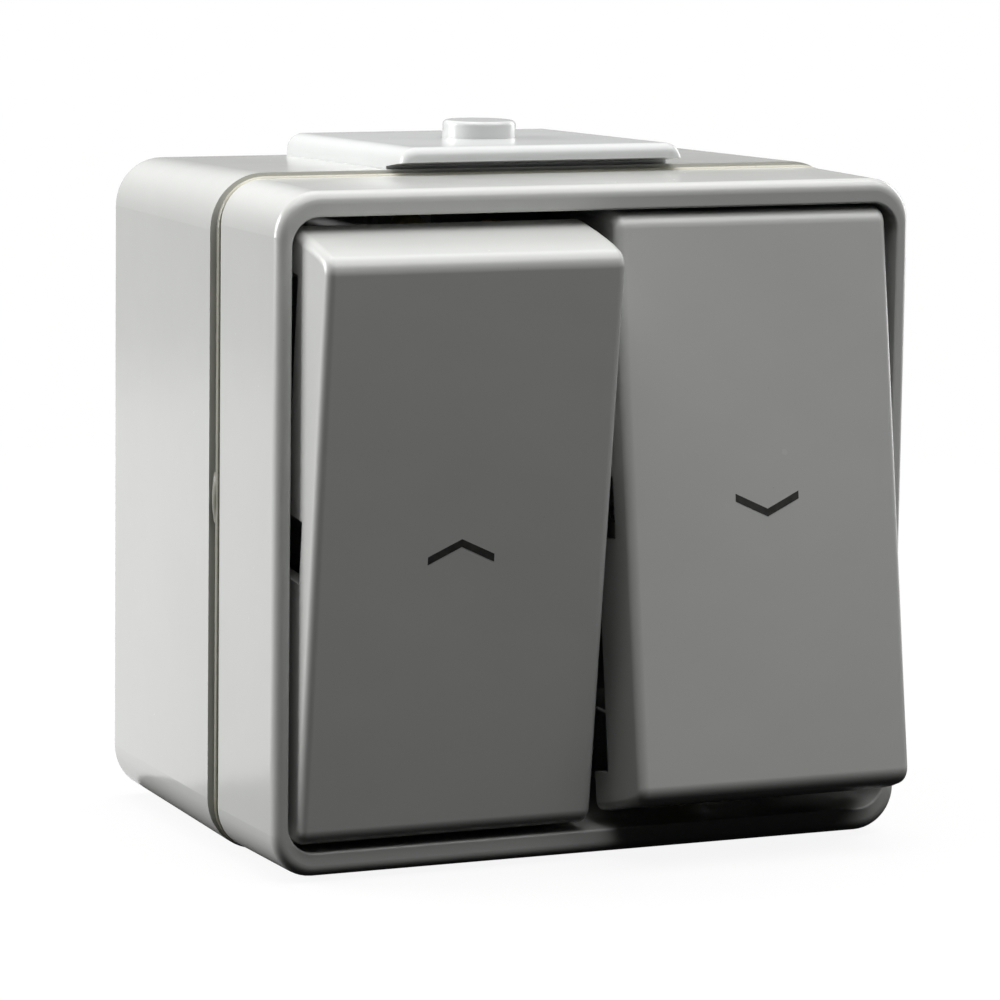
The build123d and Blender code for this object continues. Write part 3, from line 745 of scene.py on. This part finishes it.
class SWITCH_OT_housing(bpy.types.Operator):
    """Finish the box, the front frame and the cable entry plate"""
    bl_idname = "switch.housing"
    bl_label = "Housing"

    def execute(self, context):
        colours = context.scene.switch_colours
        dress(gloss_plastic("housing_plastic", colours.housing), "base_housing", "cover_frame")
        dress(gloss_plastic("entry_plastic", colours.entry, 0.22), "cable_entry_plate")
        return {"FINISHED"}


class SWITCH_OT_seal(bpy.types.Operator):
    """Finish the seal and add the mark of its gate"""
    bl_idname = "switch.seal"
    bl_label = "Seal"

    def execute(self, context):
        colours = context.scene.switch_colours
        detail = context.scene.switch_detail
        low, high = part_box("housing_seal")
        rubber = seal_rubber("seal_rubber", colours.seal, colours.seal_painted_light, high.z)
        dress(rubber, "housing_seal")
        self.gate(detail, low, high, rubber)
        return {"FINISHED"}

    def gate(self, detail, low, high, rubber):
        """Lens-shaped pip on the left side of the seal."""
        depth, bulge = (low.y + high.y) / 2, detail.gate_width * GATE_BULGE
        half_width, half_length = detail.gate_width / 2, detail.gate_length / 2
        points = [(low.x - bulge, depth, detail.gate_height)]
        for ring in range(1, GATE_RINGS + 1):
            reach = ring / GATE_RINGS
            for step in range(GATE_ROUNDS):
                turn = math.tau * step / GATE_ROUNDS
                points.append((low.x - bulge * (1.0 - reach ** 2),
                               depth + half_width * reach * math.cos(turn),
                               detail.gate_height + half_length * reach * math.sin(turn)))
        faces = [(0, 1 + step, 1 + (step + 1) % GATE_ROUNDS) for step in range(GATE_ROUNDS)]
        for ring in range(GATE_RINGS - 1):
            inner = 1 + ring * GATE_ROUNDS
            outer = inner + GATE_ROUNDS
            for step in range(GATE_ROUNDS):
                after = (step + 1) % GATE_ROUNDS
                faces.append((inner + step, outer + step, outer + after, inner + after))
        rim = 1 + (GATE_RINGS - 1) * GATE_ROUNDS
        faces.append(tuple(range(rim, rim + GATE_ROUNDS)))
        new_piece("seal_gate_mark", mesh_from("seal_gate_mark", points, faces), rubber,
                  "housing")


class SWITCH_OT_rockers(bpy.types.Operator):
    """Make the rockers' caps and print their arrows"""
    bl_idname = "switch.rockers"
    bl_label = "Rockers"

    def execute(self, context):
        colours = context.scene.switch_colours
        detail = context.scene.switch_detail
        sizes = context.scene.switch_caps
        plastic = gloss_plastic("rocker_plastic", colours.housing, 0.26)
        black = ink("arrow_ink", colours.print_ink)
        for side, pointing in (("left", 1.0), ("right", -1.0)):
            name = f"{side}_rocker_cap"
            cap = Cap(side, sizes)
            piece = new_piece(name, cap.mesh(name), plastic, f"{side}_rocker_body")
            shading = piece.modifiers.new("even_faces", "WEIGHTED_NORMAL")
            shading.keep_sharp = True
            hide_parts(f"{side}_rocker")
            self.arrow(side, cap, pointing, detail, black)
        return {"FINISHED"}

    def arrow(self, side, cap, pointing, detail, black):
        """Thin film in the shape of an arrow head, on the cap's face; 1 points up and -1 down."""
        offset = getattr(detail, f"{side}_arrow_x")
        lift = getattr(detail, f"{side}_arrow_up")
        half, rise, stroke = detail.arrow_half_width, detail.arrow_height, detail.arrow_stroke
        low = -(rise + stroke) / 2
        outline = [(-half, low), (0.0, low + rise), (half, low), (half, low + stroke),
                   (0.0, low + rise + stroke), (-half, low + stroke)]
        film = cap.sizes.face_reach + detail.arrow_film
        made = bmesh.new()
        flat = [made.verts.new(cap.place(x + offset, z * pointing + lift, film))
                for x, z in outline]
        left_arm = made.faces.new([flat[0], flat[1], flat[4], flat[5]])
        right_arm = made.faces.new([flat[1], flat[2], flat[3], flat[4]])
        grown = bmesh.ops.extrude_face_region(made, geom=[left_arm, right_arm])
        moved = [element for element in grown["geom"] if isinstance(element, bmesh.types.BMVert)]
        bmesh.ops.translate(made, vec=-cap.out * detail.arrow_film * 2, verts=moved)
        bmesh.ops.recalc_face_normals(made, faces=made.faces)
        mesh = bpy.data.meshes.new(f"{side}_arrow")
        made.to_mesh(mesh)
        made.free()
        new_piece(f"{side}_arrow", mesh, black, f"{side}_rocker_body")


class SWITCH_OT_fasteners(bpy.types.Operator):
    """Finish the screws, pins and springs"""
    bl_idname = "switch.fasteners"
    bl_label = "Fasteners"

    def execute(self, context):
        colours = context.scene.switch_colours
        dress(drawn_metal("screw_brass", colours.brass, 0.26, tarnish=0.5),
              *named("cover_screw", "insert_screw", "terminal_screw"))
        dress(drawn_metal("pin_steel", colours.steel, 0.22, (40.0, 1.0, 1.0)),
              *named("pivot_pin", "plunger_spring"))
        return {"FINISHED"}


class SWITCH_OT_insert(bpy.types.Operator):
    """Finish the insert: bridge, bearing frame, switch body, carriers and plungers"""
    bl_idname = "switch.insert"
    bl_label = "Insert"

    def execute(self, context):
        colours = context.scene.switch_colours
        # painted shade: the bridge takes the darkened steel colour, so that it shows dark deep in
        # the gap behind the rockers
        dress(drawn_metal("bridge_steel", colours.steel, 0.34), "mounting_bridge")
        dress(matt_plastic("insert_plastic", colours.insert), "switch_body", "bearing_frame")
        dress(matt_plastic("carrier_plastic", colours.carrier, 0.5),
              "left_carrier", "right_carrier", "left_plunger", "right_plunger")
        return {"FINISHED"}


class SWITCH_OT_contacts(bpy.types.Operator):
    """Finish the contacts, seesaws and terminals"""
    bl_idname = "switch.contacts"
    bl_label = "Contacts"

    def execute(self, context):
        colours = context.scene.switch_colours
        sheet = named("fixed_contact", "link_strip") + ["left_seesaw", "right_seesaw"]
        blocks = ["terminal_line", "terminal_up", "terminal_down"]
        dress(drawn_metal("contact_brass", colours.contact, 0.3, tarnish=0.35), *sheet, *blocks)
        dress(drawn_metal("contact_tip", colours.silver, 0.2, tarnish=0.2),
              *named("fixed_tip", "seesaw_tip"))
        return {"FINISHED"}


class SWITCH_PT_sidebar(bpy.types.Panel):
    """Sizes, colours and steps of the switch"""
    bl_idname = "SWITCH_PT_sidebar"
    bl_label = "Roller shutter switch"
    bl_space_type = "VIEW_3D"
    bl_region_type = "UI"
    bl_category = "Switch"

    def draw(self, context):
        layout = self.layout
        for step in STEPS:
            layout.operator(step.bl_idname)
        for held in GROUPS:
            box = layout.box()
            group = getattr(context.scene, held)
            for name in group.__annotations__:
                box.prop(group, name)


STEPS = (SWITCH_OT_stage, SWITCH_OT_housing, SWITCH_OT_seal, SWITCH_OT_rockers,
         SWITCH_OT_fasteners, SWITCH_OT_insert, SWITCH_OT_contacts)
GROUPS = {"switch_colours": SwitchColours, "switch_detail": SwitchDetail,
          "switch_caps": SwitchCaps, "switch_studio": SwitchStudio}


def register():
    for group in GROUPS.values():
        bpy.utils.register_class(group)
    for name, group in GROUPS.items():
        setattr(bpy.types.Scene, name, PointerProperty(type=group))
    for made in (*STEPS, SWITCH_PT_sidebar):
        bpy.utils.register_class(made)


def unregister():
    for made in (SWITCH_PT_sidebar, *reversed(STEPS)):
        bpy.utils.unregister_class(made)
    for name in GROUPS:
        delattr(bpy.types.Scene, name)
    for group in reversed(GROUPS.values()):
        bpy.utils.unregister_class(group)


def corners(box):
    """Plain lists of a box's two corners."""
    return [list(corner) for corner in box]


def main():
    register()
    cad = corners(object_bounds())
    bpy.ops.switch.stage()
    bpy.ops.switch.housing()
    bpy.ops.switch.seal()
    bpy.ops.switch.rockers()
    bpy.ops.switch.fasteners()
    bpy.ops.switch.insert()
    bpy.ops.switch.contacts()
    {"cad": cad, "visual": corners(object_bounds())}


if __name__ == "__main__":
    main()
